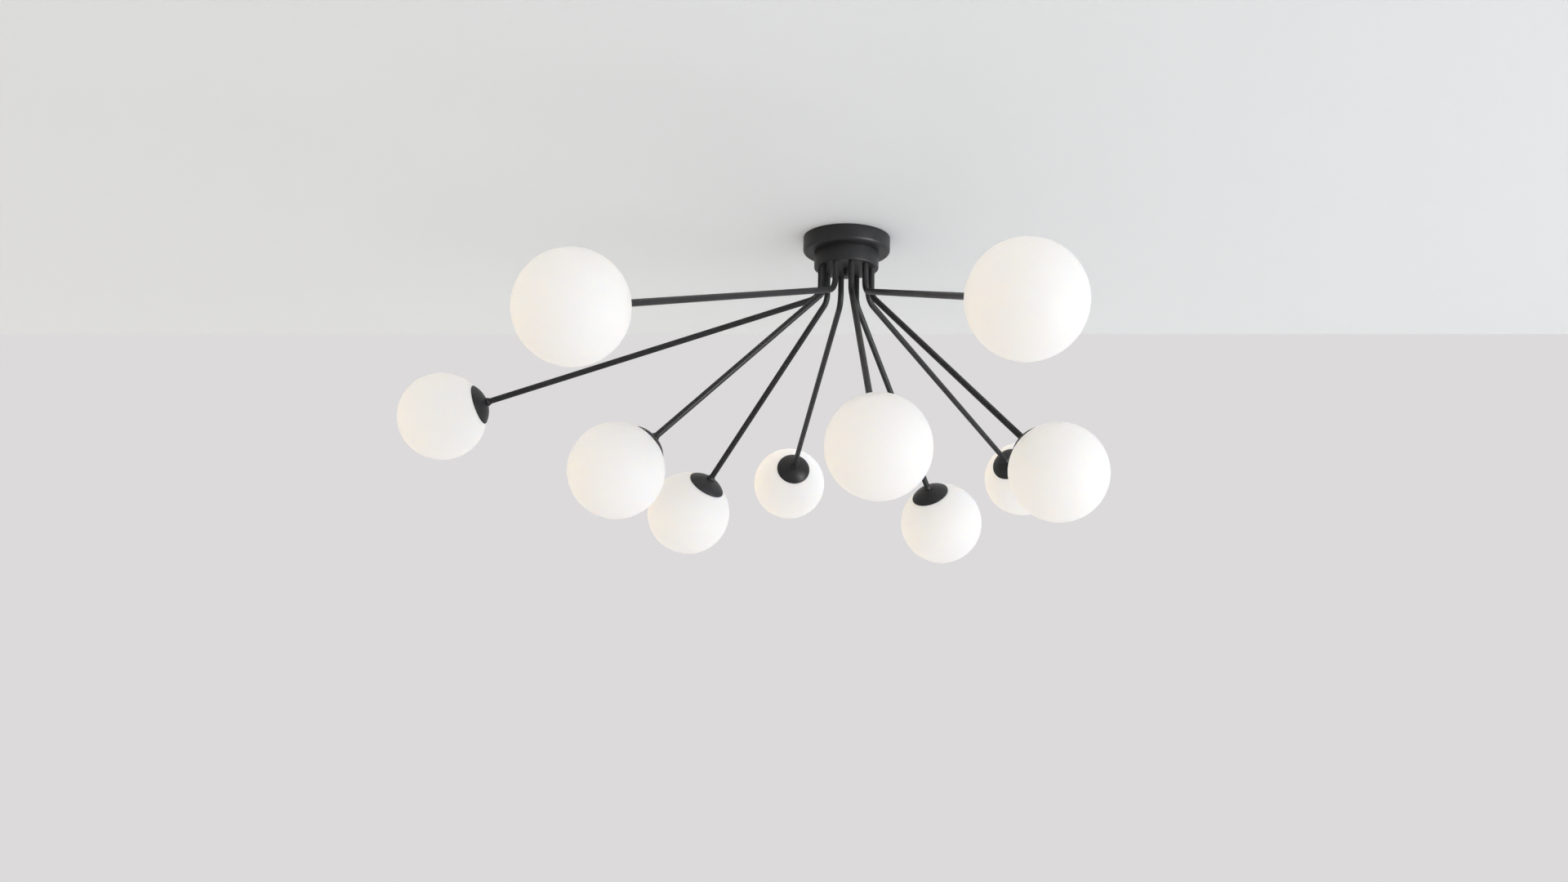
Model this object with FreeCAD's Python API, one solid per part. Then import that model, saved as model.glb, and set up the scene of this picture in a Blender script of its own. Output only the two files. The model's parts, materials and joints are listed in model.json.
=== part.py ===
import FreeCAD, Part
import math
import os

from FreeCAD import Vector

# A flush ceiling light: a round canopy carries a smaller round collar, and ten bent tubes hang
# from the collar in a ring. Each tube ends in a domed cap with an opal glass globe.
# Five long shallow arms alternate with five short steep ones, and each swivels in the collar.
# The origin is the centre of the face that meets the ceiling, +Z points up into the ceiling,
# and -Y points to the front.

# Arms: count, lengths and angles
arm_count = 10
front_arm_angle = 9.0
upper_reach = 567.0
lower_reach = 400.0
upper_droop_angle = 17.6
lower_droop_angle = 44.2
tube_diameter = 8.4
tube_wall = 1.0
bend_radius = 22.0
stem_drop = 40.0

# How far each arm is swivelled from straight outwards, in ring order from the front
swivels = [-5.0, -31.0, -30.0, 30.0, -4.5, -2.0, -0.5, 2.5, -4.0, -5.5]

# Canopy and collar
canopy_diameter = 123.0
canopy_height = 23.0
canopy_wall = 1.2
canopy_edge_radius = 5.0
wire_hole_diameter = 56.0
collar_diameter = 91.0
collar_height = 23.0
collar_wall = 1.2
collar_floor = 3.0
collar_edge_radius = 2.0
collar_top_radius = 0.8

# Stem bearings inside the collar
running_clearance = 0.05
washer_rim = 2.0
washer_thickness = 0.8
lock_nut_rim = 1.5
lock_nut_height = 5.0
nut_wall_gap = 1.7
stem_thread_end = 2.0

# Mounting bar, centre rod and its nuts
bar_end_gap = 3.8
bar_width = 16.0
bar_thickness = 2.0
bar_corner_radius = 4.0
slot_spacing = 70.0
slot_width = 5.0
slot_length = 14.0
rod_diameter = 5.0
rod_nut_rim = 1.5
rod_nut_height = 4.0
cap_nut_rim = 1.5
cap_nut_height = 10.0
cap_nut_roof = 3.0

# Terminal block and earth screw under the bar
terminal_length = 18.0
terminal_width = 17.0
terminal_height = 13.0
terminal_edge_radius = 1.0
terminal_wire_hole_diameter = 3.6
terminal_screw_hole_diameter = 4.0
terminal_rod_gap = 3.0
earth_screw_offset = 17.0
earth_screw_diameter = 4.0
earth_head_rim = 2.0
earth_head_height = 2.6
earth_slot_width = 1.0
earth_slot_depth = 1.2

# Glass globe
globe_diameter = 125.0
globe_wall = 3.0
globe_opening_diameter = 40.0

# Domed cap on the globe, with its neck
cap_diameter = 57.0
cap_height = 12.0
cap_rim_edge = 0.8
cap_wall = 1.2
cap_seat_gap = 0.1
neck_groove_depth = 1.2
neck_groove_width = 0.8
neck_rim = 2.0
neck_band = 1.0
neck_taper = 3.4
neck_end_rim = 0.4
cap_boss_rim = 3.0
cap_boss_depth = 3.8

# Lampholder, its spring bracket and the lamp
bracket_thickness = 0.8
bracket_diameter = 25.0
clip_count = 3
clip_width = 5.0
clip_thickness = 0.6
clip_glass_gap = 0.3
clip_hook = 1.8
clip_hook_drop = 1.8
clip_tail = 4.0
holder_diameter = 18.0
holder_height = 18.0
holder_edge_radius = 1.2
pin_spacing = 9.0
pin_diameter = 2.2
pin_length = 9.0
pin_clearance = 0.1
lamp_diameter = 16.0
lamp_length = 42.0

# Extra length of every cutting shape past the face that it cuts
overrun = 1.0

# Distance under which two points of an outline count as one
same_point = 1e-6

# Levels, measured down from the ceiling
canopy_bottom = -canopy_height
collar_bottom = canopy_bottom - collar_height
collar_floor_top = collar_bottom + collar_floor
bend_level = collar_bottom - stem_drop
washer_top = collar_floor_top + washer_thickness
lock_nut_top = washer_top + lock_nut_height
stem_top = lock_nut_top + stem_thread_end
bar_bottom = -bar_thickness

# Radii
tube_radius = tube_diameter / 2
stem_hole_radius = tube_radius + running_clearance
rod_radius = rod_diameter / 2
rod_hole_radius = rod_radius + running_clearance
canopy_radius = canopy_diameter / 2
collar_radius = collar_diameter / 2
lock_nut_flats = tube_diameter + 2 * lock_nut_rim
lock_nut_corner_radius = lock_nut_flats / math.sqrt(3)
stem_ring_radius = collar_radius - collar_wall - nut_wall_gap - lock_nut_corner_radius
globe_radius = globe_diameter / 2
cap_radius = cap_diameter / 2
opening_radius = globe_opening_diameter / 2

# Heights in a globe's own frame: its centre is zero and the axis points up the arm
seat_radius = globe_radius + cap_seat_gap


def seat_height(radius):
    """Height at which the cap's rim meets the glass, at a radius from the axis."""
    return math.sqrt(seat_radius**2 - radius**2)


cap_top = seat_height(cap_radius) + cap_height
dome_height = cap_height - cap_rim_edge
dome_radius = (cap_radius**2 + dome_height**2) / (2 * dome_height)
dome_centre = cap_top - dome_radius
boss_bottom = cap_top - cap_wall - cap_boss_depth
bracket_bottom = boss_bottom - bracket_thickness
holder_bottom = bracket_bottom - holder_height


def rounded_wire(corners):
    """Closed wire in the XZ plane through corners given as (x, z, corner radius)."""
    points = [Vector(x, 0, z) for x, z, radius in corners]
    edges = []
    starts = []
    ends = []
    for index, (x, z, radius) in enumerate(corners):
        corner = points[index]
        if radius == 0:
            starts.append(corner)
            ends.append(corner)
            continue
        back = (points[index - 1] - corner).normalize()
        ahead = (points[(index + 1) % len(points)] - corner).normalize()
        half_angle = back.getAngle(ahead) / 2
        trim = radius / math.tan(half_angle)
        centre = corner + (back + ahead).normalize() * (radius / math.sin(half_angle))
        middle = centre + (corner - centre).normalize() * radius
        starts.append(corner + back * trim)
        ends.append(corner + ahead * trim)
        edges.append(Part.Arc(starts[-1], middle, ends[-1]).toShape())
    for index in range(len(points)):
        start = ends[index - 1]
        end = starts[index]
        if not start.isEqual(end, same_point):
            edges.append(Part.LineSegment(start, end).toShape())
    return Part.Wire(Part.__sortEdges__(edges))


def turned(wire):
    """Solid turned about Z from a closed wire in the XZ plane."""
    return Part.Face(wire).revolve(Vector(0, 0, 0), Vector(0, 0, 1), 360)


def upright_cylinder(radius, bottom, top, x=0, y=0):
    """Cylinder along Z between two levels."""
    return Part.makeCylinder(radius, top - bottom, Vector(x, y, bottom))


def hexagon_prism(flats, bottom, top):
    """Hexagonal prism along Z with a size across its flats."""
    corner_radius = flats / math.sqrt(3)
    corners = []
    for side in range(7):
        angle = math.radians(60 * side)
        corners.append(Vector(corner_radius * math.cos(angle), corner_radius * math.sin(angle), bottom))
    return Part.Face(Part.makePolygon(corners)).extrude(Vector(0, 0, top - bottom))


def hex_nut(flats, bore_radius, bottom, top):
    """Hexagonal nut on the Z axis whose corners are turned down at both faces."""
    blank = hexagon_prism(flats, bottom, top)
    corner_radius = flats / math.sqrt(3)
    bevel = corner_radius - flats / 2
    envelope = turned(rounded_wire([
        (0, bottom, 0),
        (corner_radius - bevel, bottom, 0),
        (corner_radius, bottom + bevel / 2, 0),
        (corner_radius, top - bevel / 2, 0),
        (corner_radius - bevel, top, 0),
        (0, top, 0),
    ]))
    bore = upright_cylinder(bore_radius, bottom - overrun, top + overrun)
    return blank.common(envelope).cut(bore)


def ring_angle(index):
    """Direction from the centre to a stem, in degrees from +X towards +Y."""
    return front_arm_angle + index * 360 / arm_count - 90


def stem_place(index):
    """Where a stem stands on the collar's ring."""
    angle = math.radians(ring_angle(index))
    return Vector(stem_ring_radius * math.cos(angle), stem_ring_radius * math.sin(angle), 0)


def arm_shape(index):
    """Reach and droop of an arm: short and steep at the front, then long and shallow, in turn."""
    if index % 2 == 0:
        return lower_reach, lower_droop_angle
    return upper_reach, upper_droop_angle


def put_on_stem(shape, index):
    """Turn a shape made pointing along +X to its arm's direction and stand it on its stem."""
    shape.rotate(Vector(0, 0, 0), Vector(0, 0, 1), ring_angle(index) + swivels[index])
    shape.translate(stem_place(index))
    return shape


def put_on_arm_end(shape, index):
    """Move a shape made in a globe's own frame to the end of its arm."""
    reach, droop = arm_shape(index)
    shape.rotate(Vector(0, 0, 0), Vector(0, 1, 0), droop - 90)
    slope = math.radians(droop)
    shape.translate(Vector(reach * math.cos(slope), 0, bend_level - reach * math.sin(slope)))
    return put_on_stem(shape, index)


def canopy():
    """Spun cup against the ceiling, with a hole in its floor for the wires."""
    wall = canopy_wall
    hole = wire_hole_diameter / 2
    return turned(rounded_wire([
        (canopy_radius, 0, 0),
        (canopy_radius, canopy_bottom, canopy_edge_radius),
        (hole, canopy_bottom, 0),
        (hole, canopy_bottom + wall, 0),
        (canopy_radius - wall, canopy_bottom + wall, canopy_edge_radius - wall),
        (canopy_radius - wall, 0, 0),
    ]))


def collar():
    """Turned cup under the canopy, with one hole for each stem and one for the centre rod."""
    body = turned(rounded_wire([
        (0, collar_bottom, 0),
        (collar_radius, collar_bottom, collar_edge_radius),
        (collar_radius, canopy_bottom, collar_top_radius),
        (collar_radius - collar_wall, canopy_bottom, 0),
        (collar_radius - collar_wall, collar_floor_top, 0),
        (0, collar_floor_top, 0),
    ]))
    below = collar_bottom - overrun
    above = collar_floor_top + overrun
    holes = [upright_cylinder(rod_hole_radius, below, above)]
    for index in range(arm_count):
        place = stem_place(index)
        holes.append(upright_cylinder(stem_hole_radius, below, above, place.x, place.y))
    return body.cut(holes)


def stem_washers():
    """Friction washers on the collar's floor, one round each stem."""
    washers = []
    for index in range(arm_count):
        place = stem_place(index)
        disc = upright_cylinder(tube_radius + washer_rim, collar_floor_top, washer_top, place.x, place.y)
        bore = upright_cylinder(
            stem_hole_radius, collar_floor_top - overrun, washer_top + overrun, place.x, place.y
        )
        washers.append(disc.cut(bore))
    return Part.makeCompound(washers)


def stem_lock_nuts():
    """Lock nuts that hold the stems and let them turn with friction."""
    nuts = []
    for index in range(arm_count):
        nut = hex_nut(lock_nut_flats, stem_hole_radius, washer_top, lock_nut_top)
        nut.rotate(Vector(0, 0, 0), Vector(0, 0, 1), ring_angle(index))
        nut.translate(stem_place(index))
        nuts.append(nut)
    return Part.makeCompound(nuts)


def slot_cut(x):
    """Cutting shape of one screw slot through the mounting bar."""
    half = (slot_length - slot_width) / 2
    depth = bar_thickness + 2 * overrun
    bottom = bar_bottom - overrun
    block = Part.makeBox(2 * half, slot_width, depth, Vector(x - half, -slot_width / 2, bottom))
    ends = [
        Part.makeCylinder(slot_width / 2, depth, Vector(x - half, 0, bottom)),
        Part.makeCylinder(slot_width / 2, depth, Vector(x + half, 0, bottom)),
    ]
    return block.fuse(ends)


def mounting_bar():
    """Steel strap that is screwed to the ceiling box and carries the centre rod."""
    length = 2 * (canopy_radius - canopy_wall - bar_end_gap)
    strap = Part.makeBox(length, bar_width, bar_thickness, Vector(-length / 2, -bar_width / 2, bar_bottom))
    uprights = [edge for edge in strap.Edges if abs(edge.tangentAt(edge.FirstParameter).z) > 0.5]
    strap = strap.makeFillet(bar_corner_radius, uprights)
    below = bar_bottom - overrun
    cuts = [
        slot_cut(-slot_spacing / 2),
        slot_cut(slot_spacing / 2),
        upright_cylinder(rod_hole_radius, below, overrun),
        upright_cylinder(earth_screw_diameter / 2 + running_clearance, below, overrun, -earth_screw_offset),
    ]
    return strap.cut(cuts)


def centre_rod():
    """Threaded rod from the bar down through the collar into the cap nut."""
    return upright_cylinder(rod_radius, collar_bottom - cap_nut_height + cap_nut_roof, 0)


def rod_nut():
    """Nut that locks the centre rod under the bar."""
    flats = rod_diameter + 2 * rod_nut_rim
    return hex_nut(flats, rod_hole_radius, bar_bottom - rod_nut_height, bar_bottom)


def cap_nut():
    """Round domed nut below the collar, which pulls collar and canopy to the ceiling."""
    radius = rod_radius + cap_nut_rim
    tip = collar_bottom - cap_nut_height
    body = turned(rounded_wire([
        (0, collar_bottom, 0),
        (radius, collar_bottom, 0),
        (radius, tip, radius / 2),
        (0, tip, 0),
    ]))
    return body.cut(upright_cylinder(rod_hole_radius, tip + cap_nut_roof, collar_bottom + overrun))


def terminal_block():
    """Two-pole terminal block under the bar, with wire holes through it and screws from below."""
    start = rod_radius + rod_nut_rim + terminal_rod_gap
    bottom = bar_bottom - terminal_height
    corner = Vector(start, -terminal_width / 2, bottom)
    block = Part.makeBox(terminal_length, terminal_width, terminal_height, corner)
    lower_edges = [edge for edge in block.Edges if edge.BoundBox.ZMax < bottom + overrun]
    block = block.makeFillet(terminal_edge_radius, lower_edges)
    cuts = []
    for pole in (1, 3):
        x = start + pole * terminal_length / 4
        wire_start = Vector(x, -terminal_width / 2 - overrun, bottom + terminal_height / 2)
        wire_length = terminal_width + 2 * overrun
        wire_radius = terminal_wire_hole_diameter / 2
        cuts.append(Part.makeCylinder(wire_radius, wire_length, wire_start, Vector(0, 1, 0)))
        for side in (-1, 1):
            well_bottom = bottom - overrun
            well_top = bottom + terminal_height / 2
            y = side * terminal_width / 4
            cuts.append(upright_cylinder(terminal_screw_hole_diameter / 2, well_bottom, well_top, x, y))
    return block.cut(cuts)


def earth_screw():
    """Earth screw through the bar, with a slotted round head below it."""
    head_radius = earth_screw_diameter / 2 + earth_head_rim
    head_bottom = bar_bottom - earth_head_height
    head = turned(rounded_wire([
        (0, bar_bottom, 0),
        (head_radius, bar_bottom, 0),
        (head_radius, head_bottom, earth_head_height / 2),
        (0, head_bottom, 0),
    ]))
    shank = upright_cylinder(earth_screw_diameter / 2, bar_bottom, 0)
    slot = Part.makeBox(
        2 * head_radius + 2 * overrun,
        earth_slot_width,
        earth_slot_depth + overrun,
        Vector(-head_radius - overrun, -earth_slot_width / 2, head_bottom - overrun),
    )
    screw = head.cut(slot).fuse(shank)
    screw.translate(Vector(-earth_screw_offset, 0, 0))
    return screw


def bent_bar(radius, index, top, cap_end):
    """Round bar along an arm: down the stem, round the bend and out to the cap."""
    reach, droop = arm_shape(index)
    slope = math.radians(droop)
    out = Vector(math.cos(slope), 0, -math.sin(slope))
    vertex = Vector(0, 0, bend_level)
    turn = math.radians(90 - droop)
    trim = bend_radius * math.tan(turn / 2)
    bend_start = vertex + Vector(0, 0, trim)
    bend_end = vertex + out * trim
    centre = bend_start + Vector(bend_radius, 0, 0)
    middle = centre + (vertex - centre).normalize() * bend_radius
    start = Vector(0, 0, top)
    path = Part.Wire([
        Part.LineSegment(start, bend_start).toShape(),
        Part.Arc(bend_start, middle, bend_end).toShape(),
        Part.LineSegment(bend_end, vertex + out * (reach - cap_end)).toShape(),
    ])
    section = Part.Wire([Part.Circle(start, Vector(0, 0, -1), radius).toShape()])
    return path.makePipeShell([section], True, True)


def arm_tube(index):
    """Bent steel tube from the lock nut in the collar to the boss inside the cap."""
    outside = bent_bar(tube_radius, index, stem_top, boss_bottom)
    bore = bent_bar(tube_radius - tube_wall, index, stem_top + overrun, boss_bottom - overrun)
    return put_on_stem(outside.cut(bore), index)


def dome_point(radius, wall):
    """Point of the cap's dome at a radius from the axis, a wall's thickness inside it."""
    height = math.sqrt((dome_radius - wall)**2 - radius**2)
    return Vector(radius, 0, dome_centre + height)


def inner_rim_point():
    """Where the inside of the cap's dome meets the glass."""
    inner_radius = dome_radius - cap_wall
    height = (seat_radius**2 - inner_radius**2 + dome_centre**2) / (2 * dome_centre)
    return Vector(math.sqrt(seat_radius**2 - height**2), 0, height)


def globe_cap(index):
    """Domed cap that hugs the globe, with a grooved tapered neck and a boss inside."""
    neck_radius = tube_radius + neck_rim
    groove_radius = neck_radius - neck_groove_depth
    boss_radius = tube_radius + cap_boss_rim
    groove_top = cap_top + neck_groove_width
    band_top = groove_top + neck_band
    neck_top = band_top + neck_taper
    inner_rim = inner_rim_point()
    corners = [
        inner_rim,
        Vector(cap_radius, 0, seat_height(cap_radius)),
        dome_point(cap_radius, 0),
        dome_point(groove_radius, 0),
        Vector(groove_radius, 0, groove_top),
        Vector(neck_radius, 0, groove_top),
        Vector(neck_radius, 0, band_top),
        Vector(tube_radius + neck_end_rim, 0, neck_top),
        Vector(stem_hole_radius, 0, neck_top),
        Vector(stem_hole_radius, 0, boss_bottom),
        Vector(boss_radius, 0, boss_bottom),
        dome_point(boss_radius, cap_wall),
    ]
    edges = [Part.LineSegment(a, b).toShape() for a, b in zip(corners, corners[1:])]
    outer_middle = dome_point((cap_radius + groove_radius) / 2, 0)
    edges[2] = Part.Arc(corners[2], outer_middle, corners[3]).toShape()
    inner_middle = dome_point((inner_rim.x + boss_radius) / 2, cap_wall)
    edges.append(Part.Arc(corners[-1], inner_middle, inner_rim).toShape())
    return put_on_arm_end(turned(Part.Wire(edges)), index)


def globe(index):
    """Blown opal glass globe, open where the cap covers it."""
    outside = Part.makeSphere(globe_radius)
    inside = Part.makeSphere(globe_radius - globe_wall)
    opening = upright_cylinder(opening_radius, 0, globe_radius + overrun)
    return put_on_arm_end(outside.cut([inside, opening]), index)


def glass_inner_height(radius):
    """Height of the globe's inner face at a radius from the axis."""
    return math.sqrt((globe_radius - globe_wall)**2 - radius**2)


def spring_clip():
    """One bent spring leg that reaches through the globe's opening and hooks under the glass."""
    outer = opening_radius - clip_glass_gap
    inner = outer - clip_thickness
    root = bracket_diameter / 2 - overrun
    lip = glass_inner_height(opening_radius) - clip_glass_gap
    shoulder = (boss_bottom + seat_height(opening_radius)) / 2
    hook = outer + clip_hook
    hook_level = lip - clip_hook_drop
    tail_level = hook_level - clip_tail
    corners = [
        (root, boss_bottom),
        (bracket_diameter / 2, boss_bottom),
        (outer, shoulder),
        (outer, lip),
        (hook, hook_level),
        (outer, tail_level),
        (inner, tail_level),
        (hook - clip_thickness, hook_level),
        (inner, lip),
        (inner, shoulder - clip_thickness / 2),
        (bracket_diameter / 2 - clip_thickness, bracket_bottom),
        (root, bracket_bottom),
    ]
    outline = [Vector(x, -clip_width / 2, z) for x, z in corners]
    return Part.Face(Part.makePolygon(outline + outline[:1])).extrude(Vector(0, clip_width, 0))


def spring_bracket():
    """Steel disc under the cap's boss with the clips that hold the globe."""
    disc = upright_cylinder(bracket_diameter / 2, bracket_bottom, boss_bottom)
    legs = []
    for number in range(clip_count):
        leg = spring_clip()
        leg.rotate(Vector(0, 0, 0), Vector(0, 0, 1), number * 360 / clip_count)
        legs.append(leg)
    bore = upright_cylinder(tube_radius - tube_wall, bracket_bottom - overrun, boss_bottom + overrun)
    return disc.fuse(legs).cut(bore)


def holder_body():
    """Ceramic lampholder with two contact holes in its open end."""
    body = turned(rounded_wire([
        (0, bracket_bottom, 0),
        (holder_diameter / 2, bracket_bottom, 0),
        (holder_diameter / 2, holder_bottom, holder_edge_radius),
        (0, holder_bottom, 0),
    ]))
    top = holder_bottom + pin_length + pin_clearance
    holes = []
    for side in (-1, 1):
        x = side * pin_spacing / 2
        holes.append(upright_cylinder(pin_diameter / 2 + pin_clearance, holder_bottom - overrun, top, x))
    return body.cut(holes)


def lampholder(index):
    """Ceramic lampholder and the spring bracket that it is riveted to."""
    return put_on_arm_end(Part.makeCompound([holder_body(), spring_bracket()]), index)


def lamp(index):
    """Small capsule lamp with two pins in the lampholder."""
    radius = lamp_diameter / 2
    tip = holder_bottom - lamp_length
    shoulder = tip + radius
    side = radius * math.sqrt(0.5)
    edges = [
        Part.LineSegment(Vector(0, 0, tip), Vector(0, 0, holder_bottom)).toShape(),
        Part.LineSegment(Vector(0, 0, holder_bottom), Vector(radius, 0, holder_bottom)).toShape(),
        Part.LineSegment(Vector(radius, 0, holder_bottom), Vector(radius, 0, shoulder)).toShape(),
        Part.Arc(Vector(radius, 0, shoulder), Vector(side, 0, shoulder - side), Vector(0, 0, tip)).toShape(),
    ]
    body = turned(Part.Wire(Part.__sortEdges__(edges)))
    pins = []
    for end in (-1, 1):
        x = end * pin_spacing / 2
        pins.append(upright_cylinder(pin_diameter / 2, holder_bottom, holder_bottom + pin_length, x))
    return put_on_arm_end(body.fuse(pins), index)


def export(name, shape):
    """Write one piece to its own file."""
    shape.exportStep("parts/" + name + ".step")


def main():
    os.makedirs("parts", exist_ok=True)
    export("canopy", canopy())
    export("collar", collar())
    export("stem_washers", stem_washers())
    export("stem_lock_nuts", stem_lock_nuts())
    export("mounting_bar", mounting_bar())
    export("centre_rod", centre_rod())
    export("rod_nut", rod_nut())
    export("cap_nut", cap_nut())
    export("terminal_block", terminal_block())
    export("earth_screw", earth_screw())
    for index in range(arm_count):
        number = "%02d" % (index + 1)
        export("arm_tube_" + number, arm_tube(index))
        export("globe_cap_" + number, globe_cap(index))
        export("globe_" + number, globe(index))
        export("lampholder_" + number, lampholder(index))
        export("lamp_" + number, lamp(index))


main()
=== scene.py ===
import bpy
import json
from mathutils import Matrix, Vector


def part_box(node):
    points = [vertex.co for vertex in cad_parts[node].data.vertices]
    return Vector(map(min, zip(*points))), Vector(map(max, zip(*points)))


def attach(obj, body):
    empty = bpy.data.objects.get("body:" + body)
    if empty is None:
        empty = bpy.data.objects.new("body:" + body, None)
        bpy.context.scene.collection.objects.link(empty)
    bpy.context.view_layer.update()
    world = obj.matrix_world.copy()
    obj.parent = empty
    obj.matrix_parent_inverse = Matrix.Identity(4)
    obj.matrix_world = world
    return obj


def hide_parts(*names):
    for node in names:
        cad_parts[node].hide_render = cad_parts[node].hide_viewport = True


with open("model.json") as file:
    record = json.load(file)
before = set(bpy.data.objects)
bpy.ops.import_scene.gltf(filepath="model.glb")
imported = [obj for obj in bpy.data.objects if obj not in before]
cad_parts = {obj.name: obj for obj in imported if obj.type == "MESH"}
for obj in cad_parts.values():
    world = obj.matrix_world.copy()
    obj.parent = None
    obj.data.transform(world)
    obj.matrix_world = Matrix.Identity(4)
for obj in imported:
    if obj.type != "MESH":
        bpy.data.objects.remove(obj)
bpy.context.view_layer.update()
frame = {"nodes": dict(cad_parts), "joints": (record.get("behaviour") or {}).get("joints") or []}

import json
import math

import bmesh
import bpy
from bpy.props import FloatProperty, FloatVectorProperty, IntProperty, PointerProperty
from mathutils import Matrix, Vector

bl_info = {
    "name": "Ten-globe ceiling light",
    "version": (1, 0, 0),
    "blender": (4, 5, 0),
    "location": "3D Viewport > Sidebar > Ceiling light",
    "description": "Models and finishes a flush ceiling light with ten opal globes on bent tubes",
    "category": "Object",
}

ARM_JOINTS = {joint["child"]: joint for joint in frame["joints"]}
ARM_NUMBERS = range(1, len(ARM_JOINTS) + 1)
CANOPY_LOW, CANOPY_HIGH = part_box("canopy")
COLLAR_LOW, COLLAR_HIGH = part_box("collar")
CAP_NUT_LOW, CAP_NUT_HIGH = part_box("cap_nut")
LOCK_NUTS_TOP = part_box("stem_lock_nuts")[1].z
FULL_TURN = 2 * math.pi
UP = Vector((0, 0, 1))
PICTURE_WIDTH = 1920
PICTURE_HEIGHT = 1080
SENSOR_WIDTH = 36.0
WIDE_EDGE_STEPS = 12
EDGE_STEPS = 8
TOP_EDGE_STEPS = 4
FINE_EDGE_STEPS = 3
HIDDEN_EDGE_STEPS = 2
SAME_POINT = 1e-6
SMOOTH_ANGLE = math.radians(30)
CAP_SMOOTH_ANGLE = math.radians(35)
LIP_ANGLE = math.radians(50)
DRILL_LENGTH_IN_FLOORS = 3
MATT_ROUGHNESS = 0.9


class BaseSizes(bpy.types.PropertyGroup):
    """Sizes of the canopy, the collar and the cap nut"""

    canopy_diameter: FloatProperty(
        name="Canopy diameter", description="Across the cup that meets the ceiling",
        default=CANOPY_HIGH.x - CANOPY_LOW.x, unit="LENGTH")
    canopy_height: FloatProperty(
        name="Canopy height", description="From the ceiling to the canopy's underside",
        default=CANOPY_HIGH.z - CANOPY_LOW.z, unit="LENGTH")
    canopy_edge: FloatProperty(
        name="Canopy edge radius", description="Rounding of the canopy's lower edge",
        default=0.005, unit="LENGTH")
    wall: FloatProperty(
        name="Wall", description="Thickness of the spun canopy and of the collar's wall",
        default=0.0012, unit="LENGTH")
    wire_hole: FloatProperty(
        name="Wire hole", description="Diameter of the hole in the canopy's floor",
        default=0.056, unit="LENGTH")
    collar_diameter: FloatProperty(
        name="Collar diameter", description="Across the turned collar",
        default=COLLAR_HIGH.x - COLLAR_LOW.x, unit="LENGTH")
    collar_height: FloatProperty(
        name="Collar height", description="From the canopy down to the collar's underside",
        default=COLLAR_HIGH.z - COLLAR_LOW.z, unit="LENGTH")
    collar_floor: FloatProperty(
        name="Collar floor", description="Thickness of the floor that the stems turn in",
        default=0.003, unit="LENGTH")
    collar_edge: FloatProperty(
        name="Collar edge radius", description="Rounding of the collar's lower edge",
        default=0.002, unit="LENGTH")
    collar_top_edge: FloatProperty(
        name="Collar top edge", description="Rounding of the collar's upper edge",
        default=0.0008, unit="LENGTH")
    fine_edge: FloatProperty(
        name="Fine edge", description="Rounding that powder coat leaves on a cut edge",
        default=0.0004, unit="LENGTH")
    nut_diameter: FloatProperty(
        name="Cap nut diameter", description="Across the domed nut under the collar",
        default=CAP_NUT_HIGH.x - CAP_NUT_LOW.x, unit="LENGTH")
    nut_height: FloatProperty(
        name="Cap nut height", description="From the collar down to the nut's tip",
        default=CAP_NUT_HIGH.z - CAP_NUT_LOW.z, unit="LENGTH")
    nut_dome: FloatProperty(
        name="Cap nut dome", description="Rounding of the cap nut's lower edge",
        default=(CAP_NUT_HIGH.x - CAP_NUT_LOW.x) / 4, unit="LENGTH")
    nut_roof: FloatProperty(
        name="Cap nut roof", description="Solid metal between the nut's bore and its tip",
        default=0.003, unit="LENGTH")
    rod_hole: FloatProperty(
        name="Rod hole", description="Diameter of the holes round the centre rod",
        default=0.0051, unit="LENGTH")
    canopy_segments: IntProperty(
        name="Canopy segments", description="Faces round the canopy", default=144, min=24)
    collar_segments: IntProperty(
        name="Collar segments", description="Faces round the collar", default=120, min=24)
    nut_segments: IntProperty(
        name="Cap nut segments", description="Faces round the cap nut", default=48, min=12)


class ArmSizes(bpy.types.PropertyGroup):
    """Sizes of the bent tubes"""

    tube_diameter: FloatProperty(
        name="Tube diameter", description="Outside diameter of an arm",
        default=0.0084, unit="LENGTH")
    tube_wall: FloatProperty(
        name="Tube wall", description="Wall of an arm's tube", default=0.001, unit="LENGTH")
    bend_radius: FloatProperty(
        name="Bend radius", description="Radius of the bend's middle line",
        default=0.022, unit="LENGTH")
    thread_end: FloatProperty(
        name="Stem end", description="How far a stem stands above its lock nut",
        default=0.002, unit="LENGTH")
    running_clearance: FloatProperty(
        name="Clearance", description="Gap round a stem in its hole, on one side",
        default=0.00005, unit="LENGTH")
    sides: IntProperty(name="Sides", description="Faces round a tube", default=40, min=8)
    bend_steps: IntProperty(name="Bend steps", description="Faces along a bend", default=20, min=4)


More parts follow.
